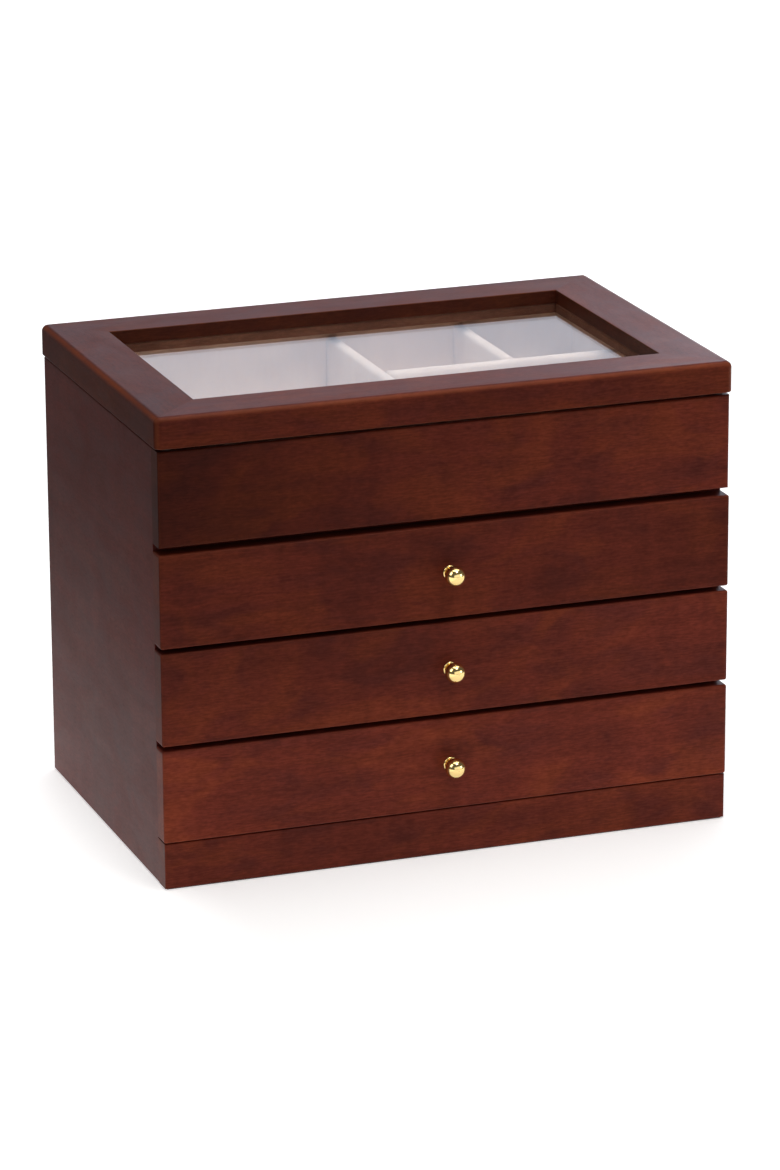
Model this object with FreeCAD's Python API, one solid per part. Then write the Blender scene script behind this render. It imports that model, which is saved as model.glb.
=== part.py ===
"""Table-top jewelry chest: a glazed lid over a divided tray, and three drawers under it.

Row frame in millimetres: origin at the centre of the base on the surface it stands on,
+X to the right as seen from the front, +Y to the back, +Z up.
"""

import math
import os

import FreeCAD, Part

V = FreeCAD.Vector

# ---- Case ----
case_width = 254.0
case_depth = 165.0
board = 9.0  # thickness of the case and front boards
felt_thickness = 0.5  # felt sheet under the base
felt_inset = 1.0
base_board_thickness = 6.0
shelf_thickness = 4.0
shelf_pitch = 42.5  # from one shelf's top face to the next
lowest_shelf_top = 21.75
drawer_count = 3
tray_height = 41.1  # from the tray floor's top face to the rim
groove_depth = 3.0  # housings for the shelves
back_rabbet = 5.0  # how far the back panel laps into each side panel
glue_play = 0.05  # clearance in a glued groove or rabbet
edge_round = 1.0  # rounded front edges of the front boards
soft_edge = 0.5  # sanded edges elsewhere

# ---- Tray ----
lining_floor = 1.2  # velour on card
lining_wall = 1.0
lining_drop = 1.0  # how far the wall lining stops under the rim
lining_play = 0.1
divider_thickness = 5.5
divider_drop = 2.5  # divider tops under the tray's rim
centre_divider_x = 2.45
cross_divider_y = 6.75
short_divider_x = 62.65

# ---- Drawers ----
drawer_names = ["bottom_drawer", "middle_drawer", "top_drawer"]
drawer_front_gap = 2.1  # between one drawer front and the next
drawer_front_drop = 0.95  # how far a drawer front reaches below its shelf's top face
drawer_front_overhang = 0.3  # past the side panels, each side
drawer_seat_gap = 0.6  # between a closed drawer front and the case
plinth_gap = 0.4  # between the plinth and the bottom drawer front
drawer_side_play = 0.6
drawer_slide_play = 0.3  # between a drawer box and its shelf
drawer_top_play = 2.2  # between a drawer box and the shelf over it
drawer_back_gap = 3.3  # behind a closed drawer
drawer_side = 6.0  # thickness of a drawer's sides and back
drawer_bottom = 3.0
drawer_bottom_lift = 3.0  # from a drawer side's lower edge to its bottom board
drawer_groove = 3.0
drawer_divider_drop = 4.8  # divider tops under the drawer's rim
ring_roll_diameter = 15.0
ring_roll_gap = 0.2

# ---- Knobs ----
knob_ball_radius = 4.35
knob_ball_distance = 6.4  # from the drawer front's face to the ball's centre
knob_flange_radius = 3.25
knob_flange_thickness = 1.1
knob_neck_radius = 1.8
knob_drop = 0.2  # under the middle of the drawer front
screw_radius = 1.25
screw_play = 0.05
screw_bite = 5.0  # length of screw inside the knob
screw_head_radius = 3.2
screw_head_height = 2.0
screw_hole_radius = 1.6
counterbore_play = 0.4

# ---- Lid ----
lid_gap = 1.3  # between the rim and the lid
lid_thickness = 13.4
lid_overhang = 1.1
lid_rail_width = 24.2
lid_edge_round = 2.8
lid_corner_round = 3.0
window_edge_round = 0.4
glass_drop = 6.0  # from the lid's top face to the glass
glass_thickness = 3.0
glass_rabbet = 4.0
glass_play = 0.5
bead_height = 3.6
bumper_radius = 3.0
bumper_clearance = 0.1

# ---- Hinges ----
hinge_length = 25.0
hinge_x = 75.0
leaf_thickness = 0.9
leaf_width = 7.0  # on the wood, from the case's back face inwards
leaf_gap = 0.2  # between the two closed leaves
knuckle_radius = 2.0
knuckle_clearance = 0.2  # between the barrel and the lid's back face
knuckle_gap = 0.15
centre_knuckle = 9.0
pin_radius = 0.9
pin_play = 0.05
stop_angle = 95.0  # where the hinge's lugs meet
stop_slack = 1.0  # degrees
lug_start = 50.0  # degrees under the horizontal
lug_reach = 3.4
lug_thickness = 1.0
lug_overlap = 1.5
hinge_screw_spread = 8.0
hinge_screw_inset = 4.0  # from the case's back face
hinge_screw_head = 1.5  # radius
hinge_screw_shank = 0.8
hinge_screw_length = 8.0
screw_slot_width = 0.5
screw_slot_depth = 0.45

# ---- Worked-out places ----
half_width = case_width / 2
inner_half = half_width - board
front_y = -case_depth / 2
back_y = case_depth / 2
boards_y = front_y + board  # where the case boards start, behind the front boards
inner_back_y = back_y - board
shelf_tops = [lowest_shelf_top + i * shelf_pitch for i in range(drawer_count + 1)]
tray_floor_top = shelf_tops[-1]
case_top = tray_floor_top + tray_height
plinth_top = lowest_shelf_top - drawer_front_drop - plinth_gap
drawer_front_height = shelf_pitch - drawer_front_gap
drawer_box_height = shelf_pitch - shelf_thickness - drawer_slide_play - drawer_top_play

lid_half_x = half_width + lid_overhang
lid_front_y = front_y - lid_overhang
lid_back_y = back_y + lid_overhang
lid_bottom = case_top + lid_gap
lid_top = lid_bottom + lid_thickness
window_half_x = lid_half_x - lid_rail_width
window_front_y = lid_front_y + lid_rail_width
window_back_y = lid_back_y - lid_rail_width
glass_top = lid_top - glass_drop
glass_bottom = glass_top - glass_thickness

hinge_axis_y = lid_back_y + knuckle_clearance + knuckle_radius
hinge_axis_z = case_top + lid_gap / 2
case_leaf_z = hinge_axis_z - leaf_gap / 2 - leaf_thickness
lid_leaf_z = hinge_axis_z + leaf_gap / 2

drawer_face_y = front_y - drawer_seat_gap
drawer_inner_y = drawer_face_y + board
drawer_end_y = inner_back_y - drawer_back_gap
drawer_half = inner_half - drawer_side_play
drawer_cavity_half = drawer_half - drawer_side


# ---- Helpers ----
def block(x, y, z):
    """A box from three (low, high) pairs."""
    return Part.makeBox(x[1] - x[0], y[1] - y[0], z[1] - z[0], V(x[0], y[0], z[0]))


def cylinder(radius, height, base, axis):
    return Part.makeCylinder(radius, height, V(*base), V(*axis))


def on_plane(edge, axis, value):
    """True if the whole edge lies on the plane where that coordinate has that value."""
    low = getattr(edge.BoundBox, axis + "Min")
    high = getattr(edge.BoundBox, axis + "Max")
    return abs(low - value) < 1e-4 and abs(high - value) < 1e-4


def rounded(shape, radius, *tests):
    """The shape with a fillet on each edge that meets any of the tests."""
    edges = [e for e in shape.Edges if any(test(e) for test in tests)]
    return shape.makeFillet(radius, edges)


def plane(axis, value):
    return lambda edge: on_plane(edge, axis, value)


def line(axis_a, value_a, axis_b, value_b):
    """A test for the edges that lie on two planes at once."""
    return lambda edge: on_plane(edge, axis_a, value_a) and on_plane(edge, axis_b, value_b)


def mirrored(shape):
    return shape.mirror(V(0, 0, 0), V(1, 0, 0))


def save(name, *solids):
    shape = solids[0] if len(solids) == 1 else Part.makeCompound(list(solids))
    shape.exportStep(os.path.join("parts", name + ".step"))


# ---- Case boards ----
def side_panel():
    """The right side panel, with housings for the shelves and a rabbet for the back."""
    panel = block((inner_half, half_width), (boards_y, back_y), (felt_thickness, case_top))
    panel = rounded(
        panel,
        soft_edge,
        line("X", half_width, "Z", case_top),
        line("X", half_width, "Y", back_y),
        line("X", half_width, "Z", felt_thickness),
    )
    for top in shelf_tops:
        groove_z = (top - shelf_thickness - glue_play, top + glue_play)
        groove = block((inner_half, inner_half + groove_depth), (boards_y, inner_back_y), groove_z)
        panel = panel.cut(groove)
    rabbet = block(
        (inner_half, inner_half + back_rabbet), (inner_back_y, back_y), (felt_thickness, case_top)
    )
    return panel.cut(rabbet)


def back_panel():
    reach = inner_half + back_rabbet - glue_play
    panel = block((-reach, reach), (inner_back_y, back_y), (felt_thickness, case_top))
    return panel.cut(hinge_mortises(case_leaf_z, case_top)).cut(hinge_screw_holes(case_leaf_z, -1))


def base_board():
    top = felt_thickness + base_board_thickness
    return block((-inner_half, inner_half), (boards_y, inner_back_y), (felt_thickness, top))


def shelf(top):
    reach = inner_half + groove_depth - glue_play
    return block((-reach, reach), (boards_y, inner_back_y), (top - shelf_thickness, top))


def plinth():
    shape = block((-half_width, half_width), (front_y, boards_y), (felt_thickness, plinth_top))
    return rounded(
        shape,
        soft_edge,
        line("Y", front_y, "X", half_width),
        line("Y", front_y, "X", -half_width),
        line("Y", front_y, "Z", plinth_top),
        line("Y", front_y, "Z", felt_thickness),
    )


def tray_front():
    """The fixed front board of the tray, over the top drawer."""
    shape = block((-half_width, half_width), (front_y, boards_y), (tray_floor_top, case_top))
    return rounded(
        shape,
        edge_round,
        line("Y", front_y, "X", half_width),
        line("Y", front_y, "X", -half_width),
        line("Y", front_y, "Z", tray_floor_top),
        line("Y", front_y, "Z", case_top),
    )


def base_felt():
    reach = half_width - felt_inset
    depth = (front_y + felt_inset, back_y - felt_inset)
    return block((-reach, reach), depth, (0, felt_thickness))


def make_case():
    right = side_panel()
    save("side_panel_right", right)
    save("side_panel_left", mirrored(right))
    save("back_panel", back_panel())
    save("base_board", base_board())
    save("base_felt", base_felt())
    save("plinth_front", plinth())
    save("tray_front_panel", tray_front())
    for name, top in zip(["shelf_bottom", "shelf_lower", "shelf_upper", "tray_floor"], shelf_tops):
        save(name, shelf(top))


# ---- Linings and dividers ----
def wall_cards(x, y, z):
    """Four lining cards that stand round the inside of a box."""
    t = lining_wall
    return [
        block(x, (y[0], y[0] + t), z),
        block(x, (y[1] - t, y[1]), z),
        block((x[0], x[0] + t), (y[0] + t, y[1] - t), z),
        block((x[1] - t, x[1]), (y[0] + t, y[1] - t), z),
    ]


def divider(x, y, z):
    """A padded divider with a rounded top, running along its longer side."""
    shape = block(x, y, z)
    along_y = y[1] - y[0] > x[1] - x[0]
    axis, sides = ("X", x) if along_y else ("Y", y)
    radius = 0.47 * (sides[1] - sides[0])
    return rounded(
        shape, radius, line(axis, sides[0], "Z", z[1]), line(axis, sides[1], "Z", z[1])
    )


def across(centre):
    return (centre - divider_thickness / 2, centre + divider_thickness / 2)


def make_tray():
    x = (-inner_half + lining_play, inner_half - lining_play)
    y = (boards_y + lining_play, inner_back_y - lining_play)
    floor_z = tray_floor_top + lining_floor
    save("tray_lining_floor", block(x, y, (tray_floor_top, floor_z)))
    save("tray_lining_walls", *wall_cards(x, y, (floor_z, case_top - lining_drop)))
    inner_y = (y[0] + lining_wall, y[1] - lining_wall)
    inner_x = x[1] - lining_wall
    z = (floor_z, case_top - divider_drop)
    centre = across(centre_divider_x)
    cross = across(cross_divider_y)
    save("tray_divider_centre", divider(centre, inner_y, z))
    save("tray_divider_cross", divider((centre[1], inner_x), cross, z))
    save("tray_divider_short", divider(across(short_divider_x), (cross[1], inner_y[1]), z))


# ---- Lid ----
def lid_frame():
    """All four rails in one piece, before they are cut apart along the mitres."""
    x = (-lid_half_x, lid_half_x)
    y = (lid_front_y, lid_back_y)
    frame = block(x, y, (lid_bottom, lid_top))
    corners = [line("X", a, "Y", b) for a in x for b in y]
    frame = rounded(frame, lid_corner_round, *corners)
    frame = rounded(frame, lid_edge_round, plane("Z", lid_top))
    frame = rounded(frame, soft_edge, plane("Z", lid_bottom))
    window_x = (-window_half_x, window_half_x)
    window_y = (window_front_y, window_back_y)
    frame = frame.cut(block(window_x, window_y, (lid_bottom, lid_top)))
    window_edges = [line("Z", lid_top, "X", a) for a in window_x]
    window_edges += [line("Z", lid_top, "Y", b) for b in window_y]
    frame = rounded(frame, window_edge_round, *window_edges)
    reach = window_half_x + glass_rabbet
    rabbet_y = (window_front_y - glass_rabbet, window_back_y + glass_rabbet)
    frame = frame.cut(block((-reach, reach), rabbet_y, (lid_bottom, glass_top)))
    mortises = hinge_mortises(lid_bottom, lid_leaf_z + leaf_thickness)
    return frame.cut(mortises).cut(hinge_screw_holes(lid_leaf_z + leaf_thickness, 1))


def mitre_line(x_side, y_side):
    """Two points in plan on one corner's mitre, one outside the lid and one in the window."""
    reach = lid_rail_width / 2
    outer = (x_side * (lid_half_x + reach), y_side * (lid_back_y + reach))
    inner = (x_side * (window_half_x - reach), y_side * (window_back_y - reach))
    return outer, inner


def make_lid_rails():
    """The lid frame, cut apart along its four mitres."""
    frame = lid_frame()
    mitres = [mitre_line(x, y) for x, y in ((-1, -1), (1, -1), (1, 1), (-1, 1))]
    for i, side in enumerate(["front", "right", "back", "left"]):
        (outer_a, inner_a), (outer_b, inner_b) = mitres[i], mitres[(i + 1) % 4]
        plan = [outer_a, outer_b, inner_b, inner_a, outer_a]
        outline = Part.makePolygon([V(x, y, case_top) for x, y in plan])
        prism = Part.Face(outline).extrude(V(0, 0, 2 * lid_thickness))
        save("lid_rail_" + side, frame.common(prism))


def make_lid_glazing():
    reach_x = window_half_x + glass_rabbet - glass_play
    y = (window_front_y - glass_rabbet + glass_play, window_back_y + glass_rabbet - glass_play)
    save("lid_glass", block((-reach_x, reach_x), y, (glass_bottom, glass_top)))
    bead_x = (window_half_x, window_half_x + glass_rabbet - glue_play)
    front_bead = (window_front_y - glass_rabbet + glue_play, window_front_y)
    back_bead = (window_back_y, window_back_y + glass_rabbet - glue_play)
    z = (glass_bottom - bead_height, glass_bottom)
    right = block(bead_x, (window_front_y, window_back_y), z)
    save(
        "lid_glass_beads",
        block((-bead_x[1], bead_x[1]), front_bead, z),
        block((-bead_x[1], bead_x[1]), back_bead, z),
        right,
        mirrored(right),
    )


def make_lid_bumpers():
    height = lid_gap - bumper_clearance
    base = (half_width - board / 2, front_y + board / 2, lid_bottom - height)
    disc = cylinder(bumper_radius, height, base, (0, 0, 1))
    disc = rounded(disc, height / 3, plane("Z", base[2]))
    save("lid_bumpers", disc, mirrored(disc))


# ---- Hinges ----
def hinge_mortises(z_low, z_high):
    """The shallow pockets that the leaves of both hinges lie in."""
    pocket = block(
        (hinge_x - hinge_length / 2 - glue_play, hinge_x + hinge_length / 2 + glue_play),
        (back_y - leaf_width - glue_play, lid_back_y),
        (z_low, z_high),
    )
    return Part.makeCompound([pocket, mirrored(pocket)])


def hinge_screw_places():
    """(x, y) of the two screws in each leaf of the right hinge."""
    y = back_y - hinge_screw_inset
    return [(hinge_x - hinge_screw_spread, y), (hinge_x + hinge_screw_spread, y)]


def hinge_screw_body(x, y, face_z, up):
    """A countersunk screw whose head is level with face_z and whose shank goes up (1) or down."""
    cone_height = hinge_screw_head - hinge_screw_shank
    axis = (0, 0, up)
    cone = Part.makeCone(hinge_screw_head, hinge_screw_shank, cone_height, V(x, y, face_z), V(*axis))
    shank = cylinder(
        hinge_screw_shank,
        hinge_screw_length - cone_height,
        (x, y, face_z + up * cone_height),
        axis,
    )
    return cone.fuse(shank).removeSplitter()


def hinge_screw(x, y, face_z, up):
    """The same screw with a slot across its head."""
    depth = sorted((face_z, face_z + up * screw_slot_depth))
    slot_y = (y - screw_slot_width / 2, y + screw_slot_width / 2)
    slot = block((x - hinge_screw_head, x + hinge_screw_head), slot_y, depth)
    return hinge_screw_body(x, y, face_z, up).cut(slot)


def hinge_screw_holes(wood_z, up):
    """The pilot holes in the wood, from the bottom of the mortise."""
    depth = hinge_screw_length + glue_play - leaf_thickness
    holes = [
        cylinder(hinge_screw_shank + glue_play, depth, (x, y, wood_z), (0, 0, up))
        for x, y in hinge_screw_places()
    ]
    return Part.makeCompound(holes + [mirrored(h) for h in holes])


def knuckle_spans():
    """The x ranges of the case leaf's two end knuckles and of the lid leaf's middle one."""
    low = hinge_x - hinge_length / 2
    high = hinge_x + hinge_length / 2
    mid = (hinge_x - centre_knuckle / 2, hinge_x + centre_knuckle / 2)
    return [(low, mid[0] - knuckle_gap), (mid[1] + knuckle_gap, high)], mid


def lug(span, inner_radius, contact_angle, above):
    """A stop lug behind the barrel. contact_angle is its meeting face's, above the horizontal."""
    height = (0, lug_thickness) if above else (-lug_thickness, 0)
    shape = block(span, (inner_radius, lug_reach), height)
    shape.rotate(V(0, 0, 0), V(1, 0, 0), contact_angle)
    shape.translate(V(0, hinge_axis_y, hinge_axis_z))
    return shape


def barrel(span):
    base = (span[0], hinge_axis_y, hinge_axis_z)
    return cylinder(knuckle_radius, span[1] - span[0], base, (1, 0, 0))


def leaf_plate(span, z_low):
    return block(
        span, (back_y - leaf_width, hinge_axis_y), (z_low, z_low + leaf_thickness)
    )


def bored(leaf, face_z, up, play):
    """The leaf with its pin bore and countersunk screw holes."""
    start = (hinge_x - hinge_length, hinge_axis_y, hinge_axis_z)
    leaf = leaf.cut(cylinder(pin_radius + play, 2 * hinge_length, start, (1, 0, 0)))
    for x, y in hinge_screw_places():
        leaf = leaf.cut(hinge_screw_body(x, y, face_z, up))
    return leaf.removeSplitter()


def case_leaf():
    ends, middle = knuckle_spans()
    whole = (ends[0][0], ends[1][1])
    plate = leaf_plate(whole, case_leaf_z)
    relief = cylinder(
        knuckle_radius + knuckle_gap,
        middle[1] - middle[0] + 2 * knuckle_gap,
        (ends[0][1], hinge_axis_y, hinge_axis_z),
        (1, 0, 0),
    )
    plate = plate.cut(relief)
    leaf = plate
    for span in ends:
        leaf = leaf.fuse(barrel(span))
        leaf = leaf.fuse(lug(span, pin_radius + pin_play, -lug_start, False))
    inner_low = (ends[0][1], middle[0] + lug_overlap)
    inner_high = (middle[1] - lug_overlap, ends[1][0])
    for span in (inner_low, inner_high):
        leaf = leaf.fuse(lug(span, knuckle_radius + knuckle_gap, -lug_start, False))
    return bored(leaf, hinge_axis_z - leaf_gap / 2, -1, pin_play)


def lid_leaf():
    ends, middle = knuckle_spans()
    whole = (ends[0][0], ends[1][1])
    plate = leaf_plate(whole, lid_leaf_z)
    for span in ends:
        relief_span = (span[0] - knuckle_gap, span[1] + knuckle_gap)
        relief = cylinder(
            knuckle_radius + knuckle_gap,
            relief_span[1] - relief_span[0],
            (relief_span[0], hinge_axis_y, hinge_axis_z),
            (1, 0, 0),
        )
        plate = plate.cut(relief)
    contact = -lug_start + stop_angle + stop_slack
    leaf = plate.fuse(barrel(middle))
    leaf = leaf.fuse(lug(middle, pin_radius + pin_play, contact, True))
    return bored(leaf, hinge_axis_z + leaf_gap / 2, 1, pin_play)


def hinge_pin():
    base = (hinge_x - hinge_length / 2, hinge_axis_y, hinge_axis_z)
    return cylinder(pin_radius, hinge_length, base, (1, 0, 0))


def make_hinges():
    for name, shape in [
        ("hinge_leaf_case", case_leaf()),
        ("hinge_leaf_lid", lid_leaf()),
        ("hinge_pin", hinge_pin()),
    ]:
        save(name + "_right", shape)
        save(name + "_left", mirrored(shape))
    for name, face_z, up in [
        ("hinge_screws_case", hinge_axis_z - leaf_gap / 2, -1),
        ("hinge_screws_lid", hinge_axis_z + leaf_gap / 2, 1),
    ]:
        screws = [hinge_screw(x, y, face_z, up) for x, y in hinge_screw_places()]
        save(name, *screws, *[mirrored(s) for s in screws])


# ---- Knobs ----
def knob(z):
    """A ball knob on a round flange, turned in one piece, with a threaded bore from behind."""
    lip = knob_flange_thickness / 2
    reach = knob_ball_distance
    neck = reach - math.sqrt(knob_ball_radius**2 - knob_neck_radius**2)
    foot = knob_flange_thickness
    waist = V(knob_neck_radius + 0.3 * lip, foot + 0.3 * lip, 0)
    bend = 0.5**0.5
    lip_middle = V(knob_flange_radius - lip + lip * bend, foot - lip + lip * bend, 0)
    profile = [
        Part.LineSegment(V(0, 0, 0), V(knob_flange_radius, 0, 0)),
        Part.LineSegment(V(knob_flange_radius, 0, 0), V(knob_flange_radius, foot - lip, 0)),
        Part.Arc(
            V(knob_flange_radius, foot - lip, 0), lip_middle, V(knob_flange_radius - lip, foot, 0)
        ),
        Part.LineSegment(V(knob_flange_radius - lip, foot, 0), V(knob_neck_radius + lip, foot, 0)),
        Part.Arc(
            V(knob_neck_radius + lip, foot, 0), waist, V(knob_neck_radius, foot + lip, 0)
        ),
        Part.LineSegment(V(knob_neck_radius, foot + lip, 0), V(knob_neck_radius, neck, 0)),
        Part.Arc(
            V(knob_neck_radius, neck, 0),
            V(knob_ball_radius, reach, 0),
            V(0, reach + knob_ball_radius, 0),
        ),
        Part.LineSegment(V(0, reach + knob_ball_radius, 0), V(0, 0, 0)),
    ]
    face = Part.Face(Part.Wire([curve.toShape() for curve in profile]))
    shape = face.revolve(V(0, 0, 0), V(0, 1, 0), 360)
    shape = shape.cut(cylinder(screw_radius + screw_play, screw_bite + screw_play, (0, 0, 0), (0, 1, 0)))
    shape.rotate(V(0, 0, 0), V(0, 0, 1), 180)
    shape.translate(V(0, drawer_face_y, z))
    return shape


def knob_screw(z):
    """The screw that holds a knob, its head in the drawer front's counterbore."""
    seat = drawer_inner_y - screw_head_height - counterbore_play
    end = drawer_face_y - screw_bite
    head = cylinder(screw_head_radius, screw_head_height, (0, seat, z), (0, 1, 0))
    head = rounded(head, 0.3 * screw_head_height, plane("Y", seat + screw_head_height))
    shank = cylinder(screw_radius, seat - end, (0, end, z), (0, 1, 0))
    return head.fuse(shank).removeSplitter()


# ---- Drawers ----
def drawer_front(low, knob_z):
    reach = half_width + drawer_front_overhang
    shape = block(
        (-reach, reach), (drawer_face_y, drawer_inner_y), (low, low + drawer_front_height)
    )
    ends = [line("X", a, "Z", b) for a in (-reach, reach) for b in (low, low + drawer_front_height)]
    shape = rounded(shape, edge_round, *ends, plane("Y", drawer_face_y))
    hole = cylinder(screw_hole_radius, board, (0, drawer_face_y, knob_z), (0, 1, 0))
    depth = screw_head_height + counterbore_play
    counterbore = cylinder(
        screw_head_radius + counterbore_play, depth, (0, drawer_inner_y - depth, knob_z), (0, 1, 0)
    )
    return shape.cut(hole).cut(counterbore)


def drawer_side_board(floor_z, top_z):
    """The right side of a drawer box, with the groove for its bottom board."""
    shape = block(
        (drawer_cavity_half, drawer_half), (drawer_inner_y, drawer_end_y), (floor_z, top_z)
    )
    shape = rounded(shape, soft_edge, plane("Z", top_z))
    low = floor_z + drawer_bottom_lift - glue_play
    groove = block(
        (drawer_cavity_half, drawer_cavity_half + drawer_groove),
        (drawer_inner_y, drawer_end_y),
        (low, low + drawer_bottom + 2 * glue_play),
    )
    return shape.cut(groove)


def make_drawer(name, shelf_top):
    low = shelf_top - drawer_front_drop
    knob_z = low + drawer_front_height / 2 - knob_drop
    floor_z = shelf_top + drawer_slide_play
    top_z = floor_z + drawer_box_height
    bottom_z = floor_z + drawer_bottom_lift
    inside_z = bottom_z + drawer_bottom
    bottom_reach = drawer_cavity_half + drawer_groove - glue_play
    front_groove = block(
        (-bottom_reach - glue_play, bottom_reach + glue_play),
        (drawer_inner_y - drawer_groove, drawer_inner_y),
        (bottom_z - glue_play, inside_z + glue_play),
    )
    side = drawer_side_board(floor_z, top_z)
    back = block(
        (-drawer_cavity_half, drawer_cavity_half),
        (drawer_end_y - drawer_side, drawer_end_y),
        (inside_z + glue_play, top_z),
    )
    bottom_y = (drawer_inner_y - drawer_groove + glue_play, drawer_end_y)
    save(name + "_front", drawer_front(low, knob_z).cut(front_groove))
    save(name + "_side_right", side)
    save(name + "_side_left", mirrored(side))
    save(name + "_back", rounded(back, soft_edge, plane("Z", top_z)))
    save(name + "_bottom", block((-bottom_reach, bottom_reach), bottom_y, (bottom_z, inside_z)))
    save(name + "_knob", knob(knob_z))
    save(name + "_knob_screw", knob_screw(knob_z))
    make_drawer_lining(name, inside_z, top_z)
    make_drawer_inserts(name, (inside_z + lining_floor, top_z - drawer_divider_drop))


def drawer_cavity():
    """x and y ranges of a drawer's inside, within its wall lining."""
    reach = drawer_cavity_half - lining_play
    y = (drawer_inner_y + lining_play, drawer_end_y - drawer_side - lining_play)
    return (-reach, reach), y


def make_drawer_lining(name, inside_z, top_z):
    x, y = drawer_cavity()
    floor_top = inside_z + lining_floor
    card = block(x, y, (inside_z + glue_play, floor_top))
    save(name + "_lining", card, *wall_cards(x, y, (floor_top, top_z - lining_drop)))


def make_drawer_inserts(name, z):
    """Ring rolls in the left half of the top drawer, and dividers in the middle one."""
    x, y = drawer_cavity()
    x = (x[0] + lining_wall, x[1] - lining_wall)
    y = (y[0] + lining_wall, y[1] - lining_wall)
    if name == "top_drawer":
        middle = across(0)
        save(name + "_divider", divider(middle, y, z))
        save(name + "_ring_rolls", *ring_rolls((x[0] + lining_play, middle[0] - lining_play), y, z[0]))
    if name == "middle_drawer":
        third = (x[1] - x[0]) / 6
        save(name + "_dividers", divider(across(-third), y, z), divider(across(third), y, z))


def ring_rolls(x, y, floor_z):
    """Padded rolls side by side, each a cylinder that lies a little flattened on the floor."""
    count = int((y[1] - y[0]) // ring_roll_diameter)
    pitch = (y[1] - y[0]) / count
    radius = (pitch - ring_roll_gap) / 2
    sink = 0.15 * radius
    rolls = []
    for i in range(count):
        centre = (x[0], y[0] + pitch * (i + 0.5), floor_z + radius - sink)
        roll = cylinder(radius, x[1] - x[0], centre, (1, 0, 0))
        above = block(x, y, (floor_z, floor_z + 3 * radius))
        rolls.append(roll.common(above))
    return rolls


def main():
    os.makedirs("parts", exist_ok=True)
    make_case()
    make_tray()
    make_lid_rails()
    make_lid_glazing()
    make_lid_bumpers()
    make_hinges()
    for name, shelf_top in zip(drawer_names, shelf_tops):
        make_drawer(name, shelf_top)


main()
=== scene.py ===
import math

import bmesh
import bpy
from mathutils import Matrix, Vector, noise


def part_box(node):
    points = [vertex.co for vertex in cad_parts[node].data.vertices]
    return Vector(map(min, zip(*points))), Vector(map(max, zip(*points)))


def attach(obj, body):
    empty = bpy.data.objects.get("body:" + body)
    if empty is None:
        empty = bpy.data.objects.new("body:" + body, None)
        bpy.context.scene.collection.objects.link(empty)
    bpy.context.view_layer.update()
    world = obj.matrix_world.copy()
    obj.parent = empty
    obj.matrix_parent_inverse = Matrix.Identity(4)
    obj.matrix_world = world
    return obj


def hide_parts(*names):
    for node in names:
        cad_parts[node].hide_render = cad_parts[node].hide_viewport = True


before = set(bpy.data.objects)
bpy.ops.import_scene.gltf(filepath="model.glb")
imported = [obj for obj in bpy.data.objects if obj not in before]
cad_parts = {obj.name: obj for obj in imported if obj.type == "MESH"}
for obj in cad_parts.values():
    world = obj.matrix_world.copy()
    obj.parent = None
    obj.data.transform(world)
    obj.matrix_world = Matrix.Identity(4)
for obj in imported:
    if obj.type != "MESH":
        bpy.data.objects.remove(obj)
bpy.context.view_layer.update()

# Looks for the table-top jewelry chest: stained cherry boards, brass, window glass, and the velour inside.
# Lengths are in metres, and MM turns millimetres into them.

MM = 0.001
DRAWERS = ("bottom_drawer", "middle_drawer", "top_drawer")

# ---- Camera: where the photographer stood, in metres and degrees ----
CAMERA_PLACE = (-0.7256, -2.0241, 0.7642)
CAMERA_YAW = 19.802  # turned from straight ahead (+Y) towards +X
CAMERA_PITCH = 17.263  # tilted down
CAMERA_ROLL = -0.296
CAMERA_LENS = 159.14  # mm
CAMERA_SENSOR = 36.0  # mm, along the photograph's height


def srgb(red, green, blue):
    """A linear colour from its 0-255 display values."""
    linear = []
    for value in (red, green, blue):
        share = value / 255
        linear.append(share / 12.92 if share <= 0.04045 else ((share + 0.055) / 1.055) ** 2.4)
    return (*linear, 1.0)


# ---- Colours ----
# Each wood has its dark, middle and warm tones, and the colour of its rubbed edges.
CHERRY = (srgb(86, 37, 31), srgb(103, 43, 32), srgb(121, 54, 32), srgb(150, 76, 50))
SIDE_CHERRY = (srgb(88, 38, 36), srgb(96, 41, 37), srgb(102, 45, 37), srgb(150, 76, 50))
LID_CHERRY = (srgb(86, 36, 29), srgb(94, 39, 27), srgb(104, 46, 26), srgb(150, 78, 46))
DARK_CHERRY = (srgb(70, 26, 23), srgb(96, 38, 31), srgb(118, 52, 33), srgb(130, 62, 40))
BEAD_WOOD = (srgb(104, 74, 62), srgb(124, 90, 76), srgb(138, 102, 84), srgb(138, 102, 84))
PLAIN_WOOD = (srgb(120, 82, 58), srgb(150, 106, 76), srgb(168, 122, 86), srgb(170, 128, 92))
LACQUER_TINT = (0.66, 0.40, 0.30, 1.0)  # colours what the stained lacquer reflects, except at a grazing view
LACQUER_GLOSS = 0.12  # specular level
WINDOW_PAINTED_SHADE = (0.60, 0.82, 0.88, 1.0)  # painted shade: how much darker the lid rails are on their sides around the window, where its opening is shaded
TARNISH = 0.62  # the share of its brightness that metal keeps under a smudge
BLACK = (0, 0, 0, 1)
WHITE = (1, 1, 1, 1)

# How far the stain is rubbed off a board's rounded edges.
LID_WEAR = 0.38
CASE_WEAR = 0.12
DRAWER_WEAR = 0.3
NO_WEAR = 0.0

# The boards' roughness under their lacquer, which is thin or absent inside.
SATIN = 0.40
BEAD_SATIN = 0.5
DRAWER_SATIN = 0.55
HIDDEN_SATIN = 0.6
BARE = 0.65
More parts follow.
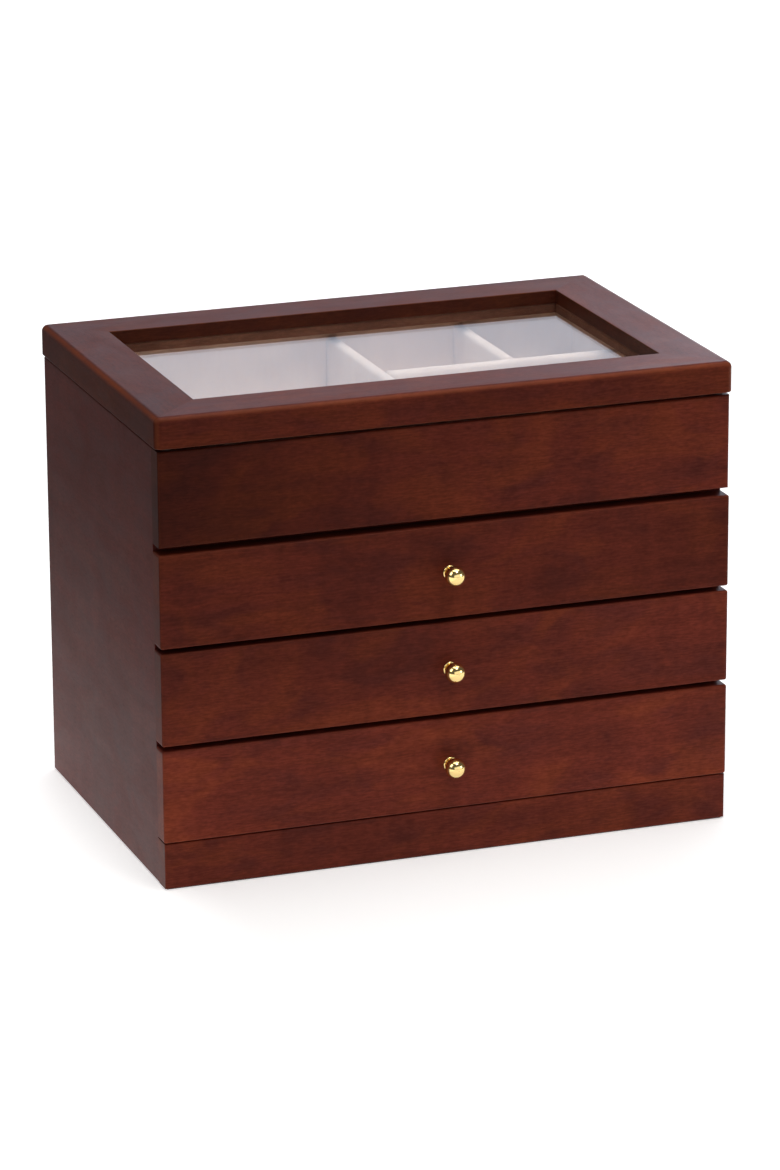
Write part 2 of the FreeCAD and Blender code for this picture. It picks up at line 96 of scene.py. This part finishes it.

# The boards that show: the axis along the grain, the tones, how light the board comes out in the middle of
# the chest, and how much lighter per metre to the right. These two lightness columns are partly the boards'
# own tone and partly painted light and shade, from how the lamps fall on each board.
SHOWN_BOARDS = {
    "side_panel_left": ("y", SIDE_CHERRY, 1.0, 0.0),
    "side_panel_right": ("y", SIDE_CHERRY, 1.0, 0.0),
    "back_panel": ("x", CHERRY, 1.0, 0.0),
    "plinth_front": ("x", CHERRY, 0.92, 0.0),
    "tray_front_panel": ("x", CHERRY, 0.81, 3.0),
    "lid_rail_front": ("x", LID_CHERRY, 1.06, 0.4),
    "lid_rail_back": ("x", LID_CHERRY, 0.80, 0.0),
    "lid_rail_left": ("y", LID_CHERRY, 0.78, 0.0),
    "lid_rail_right": ("y", LID_CHERRY, 0.86, 0.0),
    "bottom_drawer_front": ("x", CHERRY, 1.18, -0.4),
    "middle_drawer_front": ("x", CHERRY, 0.99, 0.8),
    "top_drawer_front": ("x", CHERRY, 0.79, -0.2),
}
HIDDEN_BOARDS = ("base_board", "shelf_bottom", "shelf_lower", "shelf_upper", "tray_floor")


# ---- Shader helpers ----
def new_material(name):
    """A material with its node tree and Principled shader."""
    material = bpy.data.materials.new(name)
    material.use_nodes = True
    tree = material.node_tree
    return material, tree, tree.nodes["Principled BSDF"]


def plug(tree, node, inputs):
    """Gives each of a node's inputs its value, or links it to the output socket of another node."""
    for key, value in inputs.items():
        if isinstance(value, bpy.types.NodeSocket):
            tree.links.new(value, node.inputs[key])
        else:
            node.inputs[key].default_value = value


def add(tree, kind, inputs=None, **settings):
    """A new node, with its inputs as in plug."""
    node = tree.nodes.new("ShaderNode" + kind)
    for key, value in settings.items():
        setattr(node, key, value)
    plug(tree, node, inputs or {})
    return node


def object_place(tree):
    """Places on the object, in metres, which stay with it when it moves."""
    return add(tree, "TexCoord").outputs["Object"]


def object_normal(tree):
    return add(tree, "TexCoord").outputs["Normal"]


def axis_values(tree, vector):
    """A vector's x, y and z."""
    return add(tree, "SeparateXYZ", {0: vector}).outputs


def math_node(tree, operation, first, second):
    return add(tree, "Math", {0: first, 1: second}, operation=operation).outputs[0]


def times(tree, first, second):
    return math_node(tree, "MULTIPLY", first, second)


def vector_node(tree, operation, first, second):
    return add(tree, "VectorMath", {0: first, 1: second}, operation=operation).outputs[0]


def remap(tree, value, low, high, to_low=0.0, to_high=1.0):
    """The value eased from to_low, where it is at low or beyond, to to_high at high."""
    inputs = {0: value, 1: low, 2: high, 3: to_low, 4: to_high}
    return add(tree, "MapRange", inputs, interpolation_type="SMOOTHSTEP").outputs[0]


def mix(tree, factor, first, second, blend="MIX"):
    """A mix of two colours."""
    node = add(tree, "Mix", {0: factor, 6: first, 7: second}, data_type="RGBA", blend_type=blend)
    return node.outputs[2]


def position(tree, seed=0.0):
    """Places on the object, moved on by a seed so that no two boards match."""
    shift = (0.37 * seed, 0.61 * seed, 0.23 * seed)
    return vector_node(tree, "ADD", object_place(tree), shift)


def spots(tree, place, scale, detail=2.0, roughness=0.5, distortion=0.0):
    """Noise with that many features per metre along each axis."""
    inputs = {
        "Vector": vector_node(tree, "MULTIPLY", place, scale),
        "Scale": 1.0,
        "Detail": detail,
        "Roughness": roughness,
        "Distortion": distortion,
    }
    return add(tree, "TexNoise", inputs).outputs[0]


def bump(tree, height, distance, strength, normal=None):
    """A normal bent by the height, on top of another one where that is given."""
    inputs = {"Height": height, "Distance": distance, "Strength": strength}
    if normal is not None:
        inputs["Normal"] = normal
    return add(tree, "Bump", inputs).outputs[0]


def let_through(tree, shader, share, tint=WHITE):
    """Lets a share of the rays straight through the surface, and leaves the others to the shader."""
    clear = add(tree, "BsdfTransparent", {"Color": tint}).outputs[0]
    both = add(tree, "MixShader", {0: share, 1: shader.outputs[0], 2: clear}).outputs[0]
    tree.links.new(both, tree.nodes["Material Output"].inputs["Surface"])


# ---- Wood ----
def rounded_edges(tree):
    """1 on the boards' rounded edges, where the colour rubs thin, and 0 on flat faces."""
    size = add(tree, "VectorMath", {0: object_normal(tree)}, operation="ABSOLUTE").outputs[0]
    x, y, z = axis_values(tree, size)
    largest = math_node(tree, "MAXIMUM", math_node(tree, "MAXIMUM", x, y), z)
    return remap(tree, largest, 0.995, 0.80)


def window_side(tree):
    """Where painted shade goes: 1 on upright faces that look towards the middle of the chest, as the lid
    rails do around the window.
    """
    level = vector_node(tree, "MULTIPLY", object_place(tree), (1, 1, 0))
    outward = add(tree, "VectorMath", {0: level, 1: object_normal(tree)}, operation="DOT_PRODUCT")
    return remap(tree, outward.outputs["Value"], -0.02, -0.05)


def along(axis, length, width):
    """Noise scales for features of that length along the grain and that width across it, in mm."""
    scale = [1000 / width] * 3
    scale["xyz".index(axis)] = 1000 / length
    return tuple(scale)


def wood(name, axis, seed, tones, roughness, wear, lightness_and_painted_shade=1.0, rightward_tone_and_painted_light=0.0, window=False):
    """Stained wood under satin lacquer, with its grain along the axis.

    Its lightness in the middle of the chest, and how much lighter it gets per metre to the right, are partly
    the board's own tone and partly painted light and shade. The window switch paints shade on the board's
    sides around the window.
    """
    dark, middle, warm, edge = tones
    material, tree, shader = new_material(name)
    place = position(tree, seed)

    # The wood's figure, from the widest patches to single pores. Only the curl runs across the grain.
    broad = spots(tree, place, along(axis, 150, 60))
    mottle = spots(tree, place, along(axis, 34, 15), detail=4.0, roughness=0.6, distortion=0.6)
    redness = spots(tree, position(tree, seed + 0.4), along(axis, 44, 22), detail=3.0, distortion=0.8)
    curl = spots(tree, place, along("z", 110, 10), detail=1.0, distortion=0.3)
    bands = spots(tree, place, along(axis, 120, 4), detail=3.0, roughness=0.55, distortion=0.2)
    streaks = spots(tree, place, along(axis, 5, 0.6), detail=3.0, roughness=0.6)
    flecks = spots(tree, place, along(axis, 2.2, 1.3))
    pores = spots(tree, place, along(axis, 3.2, 0.28), detail=1.0)

    # Each layer of the figure darkens and lightens the stain between two shares of its own brightness.
    shade = remap(tree, broad, 0.30, 0.70, 0.90, 1.08)
    shade = times(tree, shade, remap(tree, curl, 0.35, 0.65, 0.95, 1.05))
    shade = times(tree, shade, remap(tree, bands, 0.30, 0.70, 0.92, 1.07))
    shade = times(tree, shade, remap(tree, streaks, 0.30, 0.70, 0.83, 1.17))
    shade = times(tree, shade, remap(tree, flecks, 0.30, 0.70, 0.90, 1.10))
    # Painted light and shade: the board's lightness and its rise to the right are partly its own tone and
    # partly how the lamps fall on it.
    x = axis_values(tree, object_place(tree))[0]
    tone_and_painted_light = add(tree, "Math", {0: x, 1: rightward_tone_and_painted_light, 2: lightness_and_painted_shade}, operation="MULTIPLY_ADD").outputs[0]
    shade = times(tree, shade, tone_and_painted_light)
    grey = add(tree, "CombineColor", {0: shade, 1: shade, 2: shade}).outputs[0]

    in_pore = remap(tree, pores, 0.66, 0.74)
    rubbed = times(tree, rounded_edges(tree), remap(tree, mottle, 0.25, 0.75, 0.6 * wear, wear))
    colour = mix(tree, remap(tree, mottle, 0.30, 0.62), dark, middle)
    colour = mix(tree, remap(tree, redness, 0.44, 0.68, 0.0, 0.6), colour, warm)
    colour = mix(tree, 1.0, colour, grey, "MULTIPLY")
    colour = mix(tree, times(tree, in_pore, 0.25), colour, dark)
    colour = mix(tree, rubbed, colour, edge)
    # Painted shade on the lid rails' sides around the window.
    if window:
        colour = mix(tree, window_side(tree), colour, WINDOW_PAINTED_SHADE, "MULTIPLY")

    dull = remap(tree, mottle, 0.3, 0.7, roughness - 0.03, roughness + 0.03)
    grain = math_node(tree, "SUBTRACT", streaks, times(tree, in_pore, 0.6))
    orange_peel = spots(tree, place, (260,) * 3, detail=1.0)
    grain_normal = bump(tree, grain, 0.04 * MM, 0.25)
    plug(tree, shader, {
        "Base Color": colour,
        "Roughness": math_node(tree, "ADD", dull, times(tree, in_pore, 0.10)),
        "Specular IOR Level": LACQUER_GLOSS,
        "Specular Tint": LACQUER_TINT,
        "Normal": bump(tree, orange_peel, 0.10 * MM, 0.12, grain_normal),
    })
    return material


# ---- Brass, steel, glass, cloth, felt and rubber ----
def metal(name, colour, roughness, scratches):
    """Smudged metal with fine lines along x."""
    material, tree, shader = new_material(name)
    place = position(tree)
    smudges = spots(tree, place, (220,) * 3, detail=3.0)
    lines = spots(tree, place, along("x", 2.5, 0.25))
    tarnished = tuple(TARNISH * value for value in colour[:3]) + (1.0,)
    plug(tree, shader, {
        "Base Color": mix(tree, remap(tree, smudges, 0.5, 0.8, 0.0, 0.2), colour, tarnished),
        "Metallic": 1.0,
        "Roughness": remap(tree, smudges, 0.35, 0.75, roughness, 1.8 * roughness),
        "Normal": bump(tree, lines, 0.02 * MM, scratches),
    })
    return material


def window_glass():
    """Clear glass that lets the lamps light the tray under it."""
    material, tree, shader = new_material("window_glass")
    smears = spots(tree, position(tree), (30, 90, 30), detail=3.0)
    plug(tree, shader, {
        "Base Color": srgb(252, 252, 251),
        "Roughness": remap(tree, smears, 0.45, 0.8, 0.0, 0.035),
        "Transmission Weight": 1.0,
        "IOR": 1.5,
    })
    rays = add(tree, "LightPath").outputs
    passing = math_node(tree, "MAXIMUM", rays["Is Shadow Ray"], rays["Is Diffuse Ray"])
    let_through(tree, shader, passing, srgb(252, 251, 250))
    return material


def cloth(name, colour, shade, pile, nap):
    """Short-pile cloth. pile is the size of its tufts in mm, and nap how far its shade wanders."""
    material, tree, shader = new_material(name)
    place = position(tree)
    brushed = spots(tree, place, (55, 55, 30), detail=3.0, distortion=0.8)
    ribs = spots(tree, place, (650, 650, 90))
    tufts = spots(tree, place, (1000 / pile,) * 3, roughness=0.7)
    tone = mix(tree, remap(tree, brushed, 0.35, 0.68, 0.0, nap), colour, shade)
    tone = mix(tree, remap(tree, ribs, 0.35, 0.75, 0.0, 0.5 * nap), tone, shade)
    tone = mix(tree, remap(tree, tufts, 0.40, 0.20, 0.0, 0.45), tone, shade)
    tuft_normal = bump(tree, tufts, 0.16 * MM, 0.7)
    plug(tree, shader, {
        "Base Color": tone,
        "Roughness": remap(tree, brushed, 0.3, 0.7, 0.86, 0.97),
        "Specular IOR Level": 0.15,
        "Sheen Weight": 0.35,
        "Sheen Roughness": 0.5,
        "Normal": bump(tree, ribs, 0.12 * MM, 0.3, tuft_normal),
    })
    return material


def rubber():
    material, tree, shader = new_material("bumper_rubber")
    grains = spots(tree, position(tree), (1500,) * 3)
    plug(tree, shader, {
        "Base Color": mix(tree, grains, srgb(46, 40, 38), srgb(64, 57, 53)),
        "Roughness": 0.7,
        "Normal": bump(tree, grains, 0.03 * MM, 0.5),
    })
    return material


velour = cloth("velour", colour=srgb(251, 232, 217), shade=srgb(235, 211, 197), pile=0.45, nap=0.45)
felt = cloth("felt", colour=srgb(58, 45, 41), shade=srgb(34, 26, 24), pile=0.7, nap=0.6)


# ---- Which material each CAD node gets ----
def paint(node, material):
    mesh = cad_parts[node].data
    mesh.materials.clear()
    mesh.materials.append(material)


def paint_boards():
    """Each board has its own wood material, with the grain along the board."""
    for seed, (node, board) in enumerate(SHOWN_BOARDS.items(), start=1):
        # The last columns carry each board's own tone together with painted light and shade.
        axis, tones, *tone_and_painted_light = board
        on_lid = node.startswith("lid_")
        wear = LID_WEAR if on_lid else CASE_WEAR
        # Lid rails also get painted shade on their sides around the window.
        paint(node, wood("cherry_" + node, axis, seed, tones, SATIN, wear, *tone_and_painted_light, window=on_lid))
    paint("lid_glass_beads", wood("glass_beads", "x", 20, BEAD_WOOD, BEAD_SATIN, NO_WEAR))
    for seed, drawer in enumerate(DRAWERS, start=21):
        for part, axis, step in (("side_left", "y", 0), ("side_right", "y", 4), ("back", "x", 8)):
            name = "box_" + part + "_" + drawer
            paint(drawer + "_" + part, wood(name, axis, seed + step, DARK_CHERRY, DRAWER_SATIN, DRAWER_WEAR))
        paint(drawer + "_bottom", wood("box_bottom_" + drawer, "x", seed + 12, PLAIN_WOOD, BARE, NO_WEAR))
    for seed, node in enumerate(HIDDEN_BOARDS, start=41):
        paint(node, wood("board_" + node, "x", seed, DARK_CHERRY, HIDDEN_SATIN, NO_WEAR))


def paint_metal_and_glass():
    knob_brass = metal("polished_brass", srgb(250, 220, 148), roughness=0.09, scratches=0.05)
    hinge_brass = metal("hinge_brass", srgb(226, 188, 118), roughness=0.28, scratches=0.03)
    steel = metal("screw_steel", srgb(196, 192, 184), roughness=0.3, scratches=0.15)
    for drawer in DRAWERS:
        paint(drawer + "_knob", knob_brass)
        paint(drawer + "_knob_screw", steel)
    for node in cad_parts:
        if node.startswith("hinge_"):
            paint(node, hinge_brass)
    paint("lid_glass", window_glass())
    paint("lid_bumpers", rubber())


# ---- Soft pieces ----
ROUND_STEPS = 4  # faces around a quarter of a soft block's rounded edge
WANDER_SCALE = 70  # how many times per metre a soft skin wanders in and out
ROLL_SIDES = 28
ROLL_STEPS = 40
ROLL_PINCH = 3.5 * MM  # how far in from its ends a roll is pinched
ROLL_END = 0.55  # the share of its radius that a roll has at its very ends
ROLL_DIMPLES = 9  # along a roll
DIMPLE_DEPTH = 0.025  # as a share of the roll's radius


def ticks(low, high, step, start_round, end_round):
    """Grid places along one axis, closer together where an end is rounded."""
    inner_low = low + start_round
    inner_high = high - end_round
    count = max(1, round((inner_high - inner_low) / step))
    places = [inner_low + (inner_high - inner_low) * i / count for i in range(count + 1)]
    insets = [1 - math.cos(i * math.pi / (2 * ROUND_STEPS)) for i in range(ROUND_STEPS)]
    lead = [low + start_round * inset for inset in insets] if start_round else []
    tail = [high - end_round * inset for inset in reversed(insets)] if end_round else []
    return lead + places + tail


def grid_shell(axes):
    """The six faces of a box as a mesh with vertices at every combination of the axes' places."""
    shell = bmesh.new()
    corners = {}

    def vertex(i, j, k):
        if (i, j, k) not in corners:
            corners[i, j, k] = shell.verts.new((axes[0][i], axes[1][j], axes[2][k]))
        return corners[i, j, k]

    last = [len(places) - 1 for places in axes]
    for fixed in range(3):
        a, b = [n for n in range(3) if n != fixed]
        for end in (0, last[fixed]):
            for i in range(last[a]):
                for j in range(last[b]):
                    ring = []
                    for da, db in ((0, 0), (1, 0), (1, 1), (0, 1)):
                        index = [0, 0, 0]
                        index[fixed], index[a], index[b] = end, i + da, j + db
                        ring.append(vertex(*index))
                    shell.faces.new(ring)
    return shell


def soft_block(low, high, radius, step, flat=(), wander=0.0, seed=0.0):
    """A padded block with rounded edges and a skin that wanders, except towards the sides named in flat."""
    round_low = [0.0 if "-" + axis in flat else radius for axis in "xyz"]
    round_high = [0.0 if "+" + axis in flat else radius for axis in "xyz"]
    axes = [ticks(low[i], high[i], step, round_low[i], round_high[i]) for i in range(3)]
    shell = grid_shell(axes)
    core_low = Vector([low[i] + round_low[i] for i in range(3)])
    core_high = Vector([high[i] - round_high[i] for i in range(3)])
    for vertex in shell.verts:
        core = Vector([min(max(vertex.co[i], core_low[i]), core_high[i]) for i in range(3)])
        out = vertex.co - core
        if out.length > 1e-9:
            vertex.co = core + radius * out.normalized()
    bmesh.ops.remove_doubles(shell, verts=shell.verts, dist=1e-6)
    bmesh.ops.recalc_face_normals(shell, faces=shell.faces)
    shell.normal_update()
    for vertex in shell.verts:
        on_flat = any(
            abs(vertex.co[i] - end[i]) < 1e-7 and sign + "xyz"[i] in flat
            for i in range(3)
            for sign, end in (("-", low), ("+", high))
        )
        if not on_flat:
            waver = 0.5 + 0.5 * noise.noise(vertex.co * WANDER_SCALE + Vector((seed, 2 * seed, 0)))
            vertex.co -= vertex.normal * wander * waver
    return shell


def padded_card(low, high, seed):
    """A card wrapped in velour that stands on its lower edge or lies flat."""
    radius = 0.42 * min(high - low)
    return soft_block(low, high, radius, 5 * MM, flat=("-z",), wander=0.12 * MM, seed=seed)


def make_divider(low, high, seed):
    """A padded divider with a rounded top, butted against what is at its ends."""
    size = high - low
    ends = ("-y", "+y") if size.y > size.x else ("-x", "+x")
    radius = 0.46 * min(size.x, size.y)
    return soft_block(low, high, radius, 4 * MM, flat=("-z", *ends), wander=0.22 * MM, seed=seed)


def make_roll(low, high, seed):
    """A stuffed roll that lies on its flattened underside, pinched in a little at both ends."""
    shell = bmesh.new()
    centre_y = (low.y + high.y) / 2
    radius = (high.y - low.y) / 2
    centre_z = high.z - radius
    rings = []
    for i in range(ROLL_STEPS + 1):
        share = i / ROLL_STEPS
        from_end = min(share, 1 - share) * (high.x - low.x)
        pinch = min(1.0, from_end / ROLL_PINCH)
        swell = ROLL_END + (1 - ROLL_END) * math.sqrt(1 - (1 - pinch) ** 2)
        ring = []
        for j in range(ROLL_SIDES):
            angle = 2 * math.pi * j / ROLL_SIDES
            around = (2 * math.cos(angle), 2 * math.sin(angle))
            dimple = noise.noise(Vector((share * ROLL_DIMPLES + seed, *around)))
            reach = radius * swell * (1 - DIMPLE_DEPTH + DIMPLE_DEPTH * dimple)
            y = centre_y + reach * math.cos(angle)
            z = max(low.z, centre_z + reach * math.sin(angle))
            ring.append(shell.verts.new((low.x + share * (high.x - low.x), y, z)))
        rings.append(ring)
    for one, two in zip(rings, rings[1:]):
        for j in range(ROLL_SIDES):
            k = (j + 1) % ROLL_SIDES
            shell.faces.new((one[j], one[k], two[k], two[j]))
    shell.faces.new(rings[0])
    shell.faces.new(list(reversed(rings[-1])))
    bmesh.ops.recalc_face_normals(shell, faces=shell.faces)
    return shell


def finish_piece(name, shells, material, body, nodes):
    """One mesh object from the shells, which stands for the CAD nodes on that body."""
    mesh = bpy.data.meshes.new(name)
    whole = bmesh.new()
    for shell in shells:
        part = bpy.data.meshes.new(name + "_part")
        shell.to_mesh(part)
        shell.free()
        whole.from_mesh(part)
        bpy.data.meshes.remove(part)
    whole.to_mesh(mesh)
    whole.free()
    mesh.shade_smooth()
    mesh.materials.append(material)
    piece = bpy.data.objects.new(name, mesh)
    bpy.context.scene.collection.objects.link(piece)
    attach(piece, body)
    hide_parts(*nodes)


def solids(node):
    """(low, high) corners of each solid of a CAD node, whose faces come one closed solid after another."""
    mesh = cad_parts[node].data
    boxes = []
    corners = []
    open_edges = set()
    for face in mesh.polygons:
        places = [tuple(round(value, 6) for value in mesh.vertices[i].co) for i in face.vertices]
        corners += places
        for start, end in zip(places, places[1:] + places[:1]):
            if (end, start) in open_edges:
                open_edges.remove((end, start))
            elif start != end:
                open_edges.add((start, end))
        if not open_edges:
            low = Vector([min(corner[i] for corner in corners) for i in range(3)])
            high = Vector([max(corner[i] for corner in corners) for i in range(3)])
            boxes.append((low, high))
            corners = []
    return boxes


def line_with_velour(node, body, maker):
    """Replaces a CAD node's plain solids with padded velour ones."""
    shells = [maker(low, high, seed) for seed, (low, high) in enumerate(solids(node))]
    finish_piece(node + "_velour", shells, velour, body, [node])


def make_soft_pieces():
    line_with_velour("tray_lining_floor", "case", padded_card)
    line_with_velour("tray_lining_walls", "case", padded_card)
    for which in ("centre", "cross", "short"):
        line_with_velour("tray_divider_" + which, "case", make_divider)
    for drawer in DRAWERS:
        line_with_velour(drawer + "_lining", drawer, padded_card)
    line_with_velour("top_drawer_divider", "top_drawer", make_divider)
    line_with_velour("middle_drawer_dividers", "middle_drawer", make_divider)
    line_with_velour("top_drawer_ring_rolls", "top_drawer", make_roll)
    low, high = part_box("base_felt")
    sheet = soft_block(low, high, 0.2 * MM, 6 * MM, flat=("+z", "-z"), wander=0.15 * MM)
    finish_piece("base_felt_sheet", [sheet], felt, "case", ["base_felt"])


# ---- Studio ----
CHEST_MIDDLE = (0, 0, 0.1)
LID_MIDDLE = (0, 0, 0.2)
LID_RIGHT = (0.12, 0, 0.2)
TRAY_MIDDLE = (0.05, 0.03, 0.17)
FLOOR_REACH = 7.0
CARD_HEIGHT = 2 * MM  # of a card that lies on the floor
ROOM_GLOW = 0.12
OVERHEAD_COLOUR = (1.0, 0.975, 0.955)
TRAY_COLOUR = (1.0, 0.96, 0.93)
BACK_COLOUR = (0.73, 0.82, 1.0)
RIGHT_COLOUR = (0.80, 0.86, 1.0)


def softbox(name, place, target, size, watts, colour=(1, 1, 1)):
    """A soft rectangular lamp at a place, aimed at the target."""
    data = bpy.data.lights.new(name, "AREA")
    data.shape = "RECTANGLE"
    data.size, data.size_y = size
    data.energy = watts
    data.color = colour
    lamp = bpy.data.objects.new(name, data)
    lamp.location = place
    lamp.rotation_euler = (Vector(target) - Vector(place)).to_track_quat("-Z", "Y").to_euler()
    bpy.context.scene.collection.objects.link(lamp)
    return lamp


def studio_sheet(name, corners, material):
    """A flat sheet that belongs to the studio, not to the chest."""
    mesh = bpy.data.meshes.new(name)
    mesh.from_pydata(corners, [], [(0, 1, 2, 3)])
    mesh.materials.append(material)
    sheet = bpy.data.objects.new(name, mesh)
    bpy.context.scene.collection.objects.link(sheet)
    return sheet


def card(name, corners, glow, diffuse=False):
    """A glowing card that shows only in reflections, or only in diffuse light, and only from its front."""
    material, tree, shader = new_material(name)
    plug(tree, shader, {
        "Base Color": BLACK,
        "Specular IOR Level": 0.0,
        "Emission Color": WHITE,
        "Emission Strength": glow,
    })
    let_through(tree, shader, add(tree, "NewGeometry").outputs["Backfacing"])
    sheet = studio_sheet(name, corners, material)
    sheet.visible_camera = False
    sheet.visible_diffuse = diffuse
    sheet.visible_glossy = not diffuse
    sheet.visible_shadow = False
    sheet.visible_transmission = False


def floor_card(name, x, y, glow, diffuse=False):
    """A card that lies just over the floor, from one end to the other of x and of y."""
    corners = [(x[0], y[0]), (x[1], y[0]), (x[1], y[1]), (x[0], y[1])]
    card(name, [(*corner, CARD_HEIGHT) for corner in corners], glow, diffuse)


def facing_card(name, place, width, height, glow):
    """An upright card that faces the chest."""
    middle = Vector(place)
    across = middle.cross(Vector((0, 0, 1))).normalized() * width / 2
    rise = across.cross(middle).normalized() * height / 2
    bottom = middle - rise
    top = middle + rise
    card(name, [bottom - across, bottom + across, top + across, top - across], glow)


def make_floor():
    """White paper glowing over a light table, brighter away from the chest, and brighter beside its left side
    with painted light that fills the chest's shadow there.
    """
    material, tree, shader = new_material("floor_paper")
    here = object_place(tree)
    away = add(tree, "VectorMath", {0: here}, operation="LENGTH").outputs["Value"]
    away_glow = remap(tree, away, 0.3, 1.8, 0.43, 0.85)
    # Painted light: the floor glows brighter beside the chest's left side and fills its shadow there.
    painted_light_beside_chest = remap(tree, axis_values(tree, here)[0], -0.10, -0.16, 0.0, 0.27)
    plug(tree, shader, {
        "Base Color": (0.93, 0.93, 0.93, 1),
        "Roughness": 0.9,
        "Specular IOR Level": 0.1,
        "Emission Color": WHITE,
        "Emission Strength": math_node(tree, "ADD", away_glow, painted_light_beside_chest),
    })
    corners = [(x * FLOOR_REACH, y * FLOOR_REACH, 0) for x, y in ((-1, -1), (1, -1), (1, 1), (-1, 1))]
    studio_sheet("floor", corners, material)


def make_camera():
    yaw = math.radians(CAMERA_YAW)
    pitch = math.radians(CAMERA_PITCH)
    roll = math.radians(CAMERA_ROLL)
    forward = Vector((math.sin(yaw) * math.cos(pitch), math.cos(yaw) * math.cos(pitch), -math.sin(pitch)))
    level = Vector((math.cos(yaw), -math.sin(yaw), 0))
    upright = level.cross(forward)
    right = math.cos(roll) * level + math.sin(roll) * upright
    up = math.cos(roll) * upright - math.sin(roll) * level
    data = bpy.data.cameras.new("camera")
    data.lens = CAMERA_LENS
    data.sensor_width = CAMERA_SENSOR
    camera = bpy.data.objects.new("camera", data)
    bpy.context.scene.collection.objects.link(camera)
    turn = Matrix((right, up, -forward)).transposed()
    camera.matrix_world = Matrix.Translation(CAMERA_PLACE) @ turn.to_4x4()
    bpy.context.scene.camera = camera


def make_lamps():
    """Softboxes in a dim room, the strongest one overhead. The back ones give the lid its cool sheen."""
    world = bpy.data.worlds.new("studio")
    bpy.context.scene.world = world
    world.use_nodes = True
    background = world.node_tree.nodes["Background"]
    background.inputs["Color"].default_value = WHITE
    background.inputs["Strength"].default_value = ROOM_GLOW
    softbox("overhead", (0.1, 0.1, 1.7), CHEST_MIDDLE, (1.6, 1.6), 22, OVERHEAD_COLOUR)
    tray_lamp = softbox("tray_lamp", (0.16, -0.45, 1.0), TRAY_MIDDLE, (0.3, 0.3), 0.10, TRAY_COLOUR)
    tray_lamp.data.spread = math.radians(25)
    softbox("key", (1.4, -1.1, 0.6), CHEST_MIDDLE, (0.6, 0.6), 3.5)
    fill = softbox("fill", (-0.9, -1.6, 1.3), CHEST_MIDDLE, (0.3, 0.3), 0.8)
    fill.visible_glossy = False
    softbox("back_wall", (1.5, 2.4, 0.9), LID_MIDDLE, (2.6, 1.2), 8.5, BACK_COLOUR)
    softbox("back_right", (0.82, 0.90, 0.48), LID_RIGHT, (0.6, 0.5), 1.8, RIGHT_COLOUR)


def make_cards():
    """Cards that shape what the lacquer and brass reflect, and the light that the floor throws back up."""
    floor_card("left_near_flag", x=(-0.205, -0.135), y=(-0.09, 3), glow=0.80)
    floor_card("left_far_flag", x=(-3, -0.205), y=(-0.09, 3), glow=0.08)
    floor_card("left_bounce_flag", x=(-3, -0.30), y=(-3, 3), glow=0.03, diffuse=True)
    floor_card("front_bounce_flag", x=(-0.30, 3), y=(-4, -0.33), glow=0.03, diffuse=True)
    facing_card("tent_front", (0.6, -2.6, 0.9), width=5.0, height=1.5, glow=1.1)
    facing_card("window_left", (-1.5, -0.1, 1.25), width=1.2, height=1.0, glow=3.0)


paint_boards()
paint_metal_and_glass()
make_soft_pieces()
make_floor()
make_camera()
make_lamps()
make_cards()
bpy.context.scene.view_settings.view_transform = "Standard"
